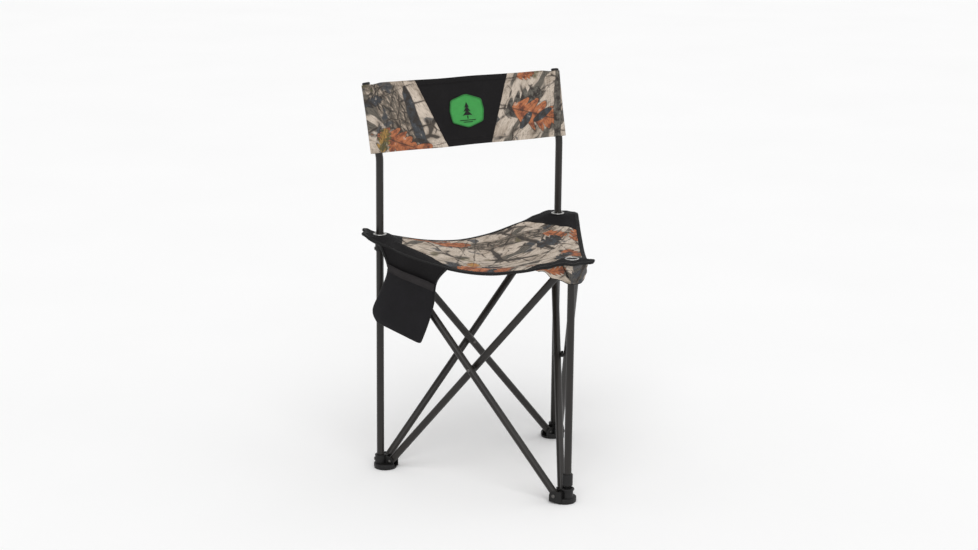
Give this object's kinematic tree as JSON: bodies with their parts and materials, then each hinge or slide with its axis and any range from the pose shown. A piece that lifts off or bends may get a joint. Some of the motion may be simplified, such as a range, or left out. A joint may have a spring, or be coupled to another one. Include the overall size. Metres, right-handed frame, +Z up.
{
  "type": "folding tripod chair",
  "caption": "Folding tripod stool with a sling seat, a low backrest band between two tall posts, scissor legs, and a side pocket.",
  "frame": {"origin": "middle of the open chair's box, on the floor it stands on", "axes": "+Z up, -Y the way the sitter faces, +X to the right seen from the front"},
  "size_m": [0.5442, 0.4856, 0.8432],
  "materials": {
    "dark_powder_coat": "satin dark brown-black powder coat on steel tube",
    "black_plastic": "fine-textured moulded black plastic",
    "rivet_steel": "dull steel rivet",
    "nickel": "nickel plated",
    "camouflage_cloth": "woven polyester with a printed leaf and bark camouflage",
    "black_cloth": "woven black polyester",
    "black_mesh": "fine black mesh",
    "green_badge": "green woven patch with a black inner line"
  },
  "bodies": {
    "left_post": {"foot_left": "black_plastic", "rear_post_left": "dark_powder_coat", "post_cap_left": "black_plastic", "post_pin_left": "rivet_steel", "back_sleeve_left": "camouflage_cloth", "foot_rivet_left_front": "rivet_steel", "foot_rivet_left_right": "rivet_steel", "back_panel_left": "camouflage_cloth", "back_panel_right": "camouflage_cloth", "back_panel_centre": "black_cloth", "back_badge": "green_badge"},
    "left_hub": {"hub_left": "black_plastic", "hub_pin_left": "rivet_steel", "corner_patch_left": "black_cloth", "grommet_left": "nickel", "hub_rivet_front_left": "rivet_steel", "hub_rivet_right_left": "rivet_steel"},
    "right_post": {"foot_right": "black_plastic", "rear_post_right": "dark_powder_coat", "post_cap_right": "black_plastic", "post_pin_right": "rivet_steel", "back_sleeve_right": "camouflage_cloth", "foot_rivet_right_left": "rivet_steel", "foot_rivet_right_front": "rivet_steel"},
    "right_hub": {"hub_right": "black_plastic", "hub_pin_right": "rivet_steel", "corner_patch_right": "black_cloth", "grommet_right": "nickel", "hub_rivet_left_right": "rivet_steel", "hub_rivet_front_right": "rivet_steel"},
    "front_foot": {"foot_front": "black_plastic", "foot_rivet_front_left": "rivet_steel", "foot_rivet_front_right": "rivet_steel"},
    "front_leg": {"hub_front": "black_plastic", "hub_pin_front": "rivet_steel", "corner_patch_front": "black_cloth", "grommet_front": "nickel", "front_leg": "dark_powder_coat", "front_leg_plug": "black_plastic", "front_leg_cap": "black_plastic", "hub_rivet_left_front": "rivet_steel", "hub_rivet_right_front": "rivet_steel", "front_corner_gusset": "camouflage_cloth"},
    "tube_left_front": {"cross_tube_left_front": "dark_powder_coat", "spacer_left_front": "black_plastic", "crossing_rivet_left_front": "rivet_steel"},
    "tube_front_left": {"cross_tube_front_left": "dark_powder_coat"},
    "tube_left_right": {"cross_tube_left_right": "dark_powder_coat", "spacer_left_right": "black_plastic", "crossing_rivet_left_right": "rivet_steel"},
    "tube_right_left": {"cross_tube_right_left": "dark_powder_coat"},
    "tube_right_front": {"cross_tube_right_front": "dark_powder_coat", "spacer_right_front": "black_plastic", "crossing_rivet_right_front": "rivet_steel"},
    "tube_front_right": {"cross_tube_front_right": "dark_powder_coat"},
    "seat_rear": {"seat_panel_rear": "camouflage_cloth"},
    "seat_left": {"seat_panel_left": "camouflage_cloth"},
    "seat_right": {"seat_panel_right": "camouflage_cloth"},
    "pocket": {"pocket_back": "black_cloth", "pocket_mesh": "black_mesh"}
  },
  "joints": [
    {"name": "fold", "type": "hinge", "parent": "left_post", "child": "tube_left_front", "pos_m": [-0.20665, 0.18186, 0.0165], "axis": [-0.866, -0.5, 0], "range_deg": [0, 35]},
    {"name": "crossing_left_front", "type": "hinge", "parent": "tube_left_front", "child": "tube_front_left", "pos_m": [-0.1135, -0.00107, 0.2575], "axis": [0.866, 0.5, 0], "range_deg": [0, 70]},
    {"name": "front_foot_pivot", "type": "hinge", "parent": "tube_front_left", "child": "front_foot", "pos_m": [-0.02035, -0.18401, 0.0165], "axis": [-0.866, -0.5, 0], "range_deg": [0, 35]},
    {"name": "left_hub_pivot", "type": "hinge", "parent": "tube_front_left", "child": "left_hub", "pos_m": [-0.22535, 0.17106, 0.4985], "axis": [-0.866, -0.5, 0], "range_deg": [0, 35]},
    {"name": "front_hub_pivot", "type": "hinge", "parent": "tube_left_front", "child": "front_leg", "pos_m": [-0.00165, -0.17321, 0.4985], "axis": [0.866, 0.5, 0], "range_deg": [0, 35]},
    {"name": "left_foot_pivot_rear", "type": "hinge", "parent": "left_post", "child": "tube_left_right", "pos_m": [-0.205, 0.20631, 0.0165], "axis": [0, -1, 0], "range_deg": [0, 35]},
    {"name": "crossing_left_right", "type": "hinge", "parent": "tube_left_right", "child": "tube_right_left", "pos_m": [0, 0.19551, 0.2575], "axis": [0, 1, 0], "range_deg": [0, 70]},
    {"name": "right_foot_pivot_rear", "type": "hinge", "parent": "tube_right_left", "child": "right_post", "pos_m": [0.205, 0.18471, 0.0165], "axis": [0, -1, 0], "range_deg": [0, 35], "deforming": ["back_panel_left", "back_panel_right", "back_panel_centre", "back_badge"]},
    {"name": "right_hub_pivot_rear", "type": "hinge", "parent": "tube_left_right", "child": "right_hub", "pos_m": [0.205, 0.20631, 0.4985], "axis": [0, 1, 0], "range_deg": [0, 35]},
    {"name": "right_foot_pivot_front", "type": "hinge", "parent": "right_post", "child": "tube_right_front", "pos_m": [0.22535, 0.17106, 0.0165], "axis": [-0.866, 0.5, 0], "range_deg": [0, 35]},
    {"name": "front_foot_pivot_right", "type": "hinge", "parent": "front_foot", "child": "tube_front_right", "pos_m": [0.00165, -0.17321, 0.0165], "axis": [0.866, -0.5, 0], "range_deg": [0, 35]},
    {"name": "seat_fold_left", "type": "hinge", "parent": "left_hub", "child": "seat_left", "pos_m": [-0.227, 0.19551, 0.52], "axis": [-0.5, 0.866, 0], "range_deg": [0, 53.46], "deforming": ["seat_panel_left"]},
    {"name": "seat_fold_rear", "type": "hinge", "parent": "left_hub", "child": "seat_rear", "pos_m": [-0.227, 0.19551, 0.52], "axis": [1, 0, 0], "range_deg": [0, 53.46], "deforming": ["seat_panel_rear"]},
    {"name": "seat_fold_right", "type": "hinge", "parent": "front_leg", "child": "seat_right", "pos_m": [0, -0.19766, 0.52], "axis": [-0.5, -0.866, 0], "range_deg": [0, 53.46], "deforming": ["seat_panel_right"]},
    {"name": "pocket_hem", "type": "hinge", "parent": "seat_left", "child": "pocket", "pos_m": [-0.26597, 0.17301, 0.49], "axis": [0.5, -0.866, 0], "range_deg": [0, 53.46], "deforming": ["pocket_back", "pocket_mesh"]}
  ],
  "couplings": [
    {"joint": "crossing_left_front", "follows": "fold", "ratio": 2},
    {"joint": "front_foot_pivot", "follows": "fold", "ratio": 1},
    {"joint": "left_hub_pivot", "follows": "fold", "ratio": 1},
    {"joint": "front_hub_pivot", "follows": "fold", "ratio": 1},
    {"joint": "left_foot_pivot_rear", "follows": "fold", "ratio": 1},
    {"joint": "crossing_left_right", "follows": "fold", "ratio": 2},
    {"joint": "right_foot_pivot_rear", "follows": "fold", "ratio": 1},
    {"joint": "right_hub_pivot_rear", "follows": "fold", "ratio": 1},
    {"joint": "right_foot_pivot_front", "follows": "fold", "ratio": 1},
    {"joint": "front_foot_pivot_right", "follows": "fold", "ratio": 1},
    {"joint": "seat_fold_left", "follows": "fold", "ratio": 1.5272},
    {"joint": "seat_fold_rear", "follows": "fold", "ratio": 1.5272},
    {"joint": "seat_fold_right", "follows": "fold", "ratio": 1.5272},
    {"joint": "pocket_hem", "follows": "fold", "ratio": 1.5272}
  ]
}
